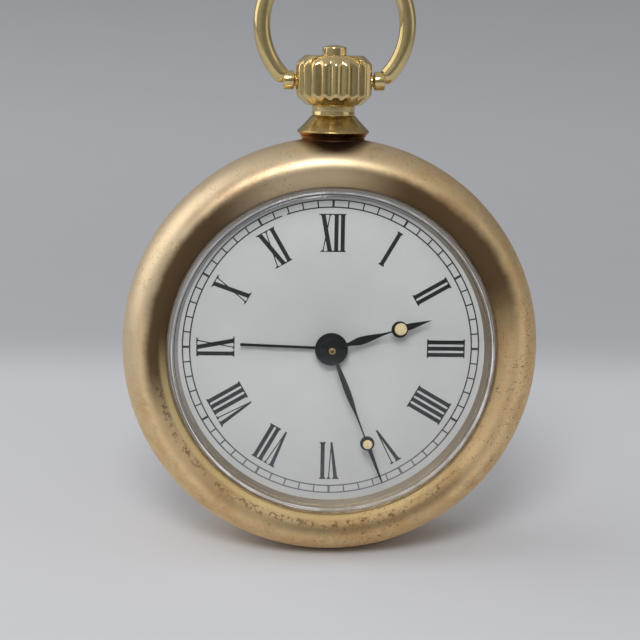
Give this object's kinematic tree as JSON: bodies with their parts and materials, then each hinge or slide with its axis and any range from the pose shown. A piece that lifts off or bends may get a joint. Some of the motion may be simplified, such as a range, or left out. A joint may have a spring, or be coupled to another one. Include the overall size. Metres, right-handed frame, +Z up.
{
  "type": "desk clock",
  "caption": "Brass desk alarm clock in pocket-watch form, with a Roman dial under a domed glass, winding keys and setting knobs on the back, a bow and a folding strut.",
  "frame": {"origin": "on the desk, at the middle of the small flat on which the rim stands", "axes": "+Z up, the dial faces -Y and leans back, +X to the right seen from the front"},
  "size_m": [0.075, 0.0369, 0.1078],
  "materials": {
    "case_brass": "satin, worn",
    "pendant_brass": "worn",
    "polished_brass": "polished",
    "knob_brass": "satin",
    "centre_brass": "satin",
    "movement_brass": "machined",
    "arbor_steel": "turned",
    "crystal_glass": "clear, polished",
    "rehaut_silver": "silvered",
    "dial_white": "matte white",
    "hand_black": "satin black",
    "lume_paste": "matte paste"
  },
  "bodies": {
    "case": {"case_shell": "case_brass", "crystal": "crystal_glass", "rehaut_ring": "rehaut_silver", "dial": "dial_white", "dial_feet": "movement_brass", "front_plate": "movement_brass", "back_plate": "movement_brass", "plate_pillars": "movement_brass", "back_cover": "case_brass", "strut_hinge": "case_brass", "strut_hinge_pin": "arbor_steel", "pendant_collar": "pendant_brass", "pendant_neck": "polished_brass", "crown": "polished_brass"},
    "minute_arbor": {"centre_arbor": "centre_brass", "cannon_pinion": "arbor_steel", "centre_wheel": "movement_brass", "minute_hand": "hand_black", "minute_hand_lume": "lume_paste", "time_set_knob": "knob_brass"},
    "hour_pipe": {"hour_wheel": "movement_brass", "hour_hand": "hand_black", "hour_hand_lume": "lume_paste"},
    "minute_wheel": {"minute_wheel": "movement_brass"},
    "main_barrel": {"main_barrel": "movement_brass"},
    "third_wheel": {"third_wheel": "movement_brass"},
    "fourth_wheel": {"fourth_wheel": "movement_brass"},
    "escape_wheel": {"escape_wheel": "movement_brass"},
    "pallet_lever": {"pallet_lever": "arbor_steel"},
    "balance": {"balance_wheel": "movement_brass"},
    "alarm_pipe": {"alarm_wheel": "movement_brass", "alarm_hand": "hand_black"},
    "alarm_setting": {"alarm_set_arbor": "arbor_steel", "alarm_set_knob": "knob_brass"},
    "alarm_barrel": {"alarm_barrel": "movement_brass"},
    "alarm_escape": {"alarm_escape_wheel": "movement_brass"},
    "alarm_hammer": {"alarm_hammer": "arbor_steel"},
    "time_winder": {"time_winding_arbor": "arbor_steel", "time_key": "knob_brass"},
    "alarm_winder": {"alarm_winding_arbor": "arbor_steel", "alarm_key": "knob_brass"},
    "stop_button": {"stop_button": "polished_brass"},
    "bow": {"bow": "polished_brass"},
    "strut": {"strut": "case_brass"}
  },
  "joints": [
    {"name": "minute_hand_turn", "type": "hinge", "parent": "case", "child": "minute_arbor", "pos_m": [0, 0.00084, 0.03695], "axis": [0, 0.9903, -0.1392], "continuous": true},
    {"name": "hour_hand_turn", "type": "hinge", "parent": "case", "child": "hour_pipe", "pos_m": [0, 0.00084, 0.03695], "axis": [0, 0.9903, -0.1392], "continuous": true},
    {"name": "minute_wheel_turn", "type": "hinge", "parent": "case", "child": "minute_wheel", "pos_m": [-0.0047, 0.0006, 0.03526], "axis": [0, 0.9903, -0.1392], "continuous": true},
    {"name": "main_barrel_turn", "type": "hinge", "parent": "case", "child": "main_barrel", "pos_m": [-0.01066, 0.00153, 0.04187], "axis": [0, 0.9903, -0.1392], "continuous": true},
    {"name": "third_wheel_turn", "type": "hinge", "parent": "case", "child": "third_wheel", "pos_m": [-0.00405, -0.00014, 0.03], "axis": [0, 0.9903, -0.1392], "continuous": true},
    {"name": "fourth_wheel_turn", "type": "hinge", "parent": "case", "child": "fourth_wheel", "pos_m": [0.00103, -0.00073, 0.02578], "axis": [0, 0.9903, -0.1392], "continuous": true},
    {"name": "escape_wheel_turn", "type": "hinge", "parent": "case", "child": "escape_wheel", "pos_m": [0.00688, -0.00059, 0.0268], "axis": [0, 0.9903, -0.1392], "continuous": true},
    {"name": "pallet_lever_rock", "type": "hinge", "parent": "case", "child": "pallet_lever", "pos_m": [0.01081, -0.00031, 0.02876], "axis": [0, 0.9903, -0.1392], "range_deg": [-5, 5]},
    {"name": "balance_swing", "type": "hinge", "parent": "case", "child": "balance", "pos_m": [0.01688, 0.00011, 0.03179], "axis": [0, 0.9903, -0.1392], "range_deg": [-135, 135], "stiffness_Nm_per_rad": 0.0000008},
    {"name": "alarm_hand_turn", "type": "hinge", "parent": "case", "child": "alarm_pipe", "pos_m": [0, 0.00084, 0.03695], "axis": [0, 0.9903, -0.1392], "continuous": true},
    {"name": "alarm_knob_turn", "type": "hinge", "parent": "case", "child": "alarm_setting", "pos_m": [0.00688, 0.00017, 0.03218], "axis": [0, 0.9903, -0.1392], "continuous": true},
    {"name": "alarm_barrel_turn", "type": "hinge", "parent": "case", "child": "alarm_barrel", "pos_m": [0.01153, 0.00167, 0.04289], "axis": [0, 0.9903, -0.1392], "continuous": true},
    {"name": "alarm_escape_turn", "type": "hinge", "parent": "case", "child": "alarm_escape", "pos_m": [0.0019, 0.00261, 0.04957], "axis": [0, 0.9903, -0.1392], "continuous": true},
    {"name": "alarm_hammer_swing", "type": "hinge", "parent": "case", "child": "alarm_hammer", "pos_m": [-0.00361, 0.0032, 0.05377], "axis": [0, 0.9903, -0.1392], "range_deg": [-6, 6]},
    {"name": "time_key_turn", "type": "hinge", "parent": "case", "child": "time_winder", "pos_m": [-0.01066, 0.00153, 0.04187], "axis": [0, 0.9903, -0.1392], "range_deg": [0, 1800]},
    {"name": "alarm_key_turn", "type": "hinge", "parent": "case", "child": "alarm_winder", "pos_m": [0.01153, 0.00167, 0.04289], "axis": [0, 0.9903, -0.1392], "range_deg": [0, 1440]},
    {"name": "stop_button_press", "type": "slide", "parent": "case", "child": "stop_button", "axis": [0, -0.1392, -0.9903], "range_m": [0, 0.0015], "stiffness_N_per_m": 300, "springref_m": -0.0005},
    {"name": "bow_fold", "type": "hinge", "parent": "case", "child": "bow", "pos_m": [0, 0.00943, 0.08371], "axis": [1, 0, 0], "range_deg": [-100, 100]},
    {"name": "strut_fold", "type": "hinge", "parent": "case", "child": "strut", "pos_m": [0, 0.0146, 0.02391], "axis": [1, 0, 0], "range_deg": [-28.6, 0]}
  ],
  "couplings": [
    {"joint": "hour_hand_turn", "follows": "minute_hand_turn", "ratio": 0.083333},
    {"joint": "minute_wheel_turn", "follows": "minute_hand_turn", "ratio": -0.33333},
    {"joint": "main_barrel_turn", "follows": "minute_hand_turn", "ratio": -0.16667},
    {"joint": "third_wheel_turn", "follows": "minute_hand_turn", "ratio": -8},
    {"joint": "fourth_wheel_turn", "follows": "minute_hand_turn", "ratio": 60},
    {"joint": "escape_wheel_turn", "follows": "minute_hand_turn", "ratio": -480},
    {"joint": "alarm_knob_turn", "follows": "alarm_hand_turn", "ratio": -2.5},
    {"joint": "alarm_escape_turn", "follows": "alarm_barrel_turn", "ratio": -6}
  ]
}
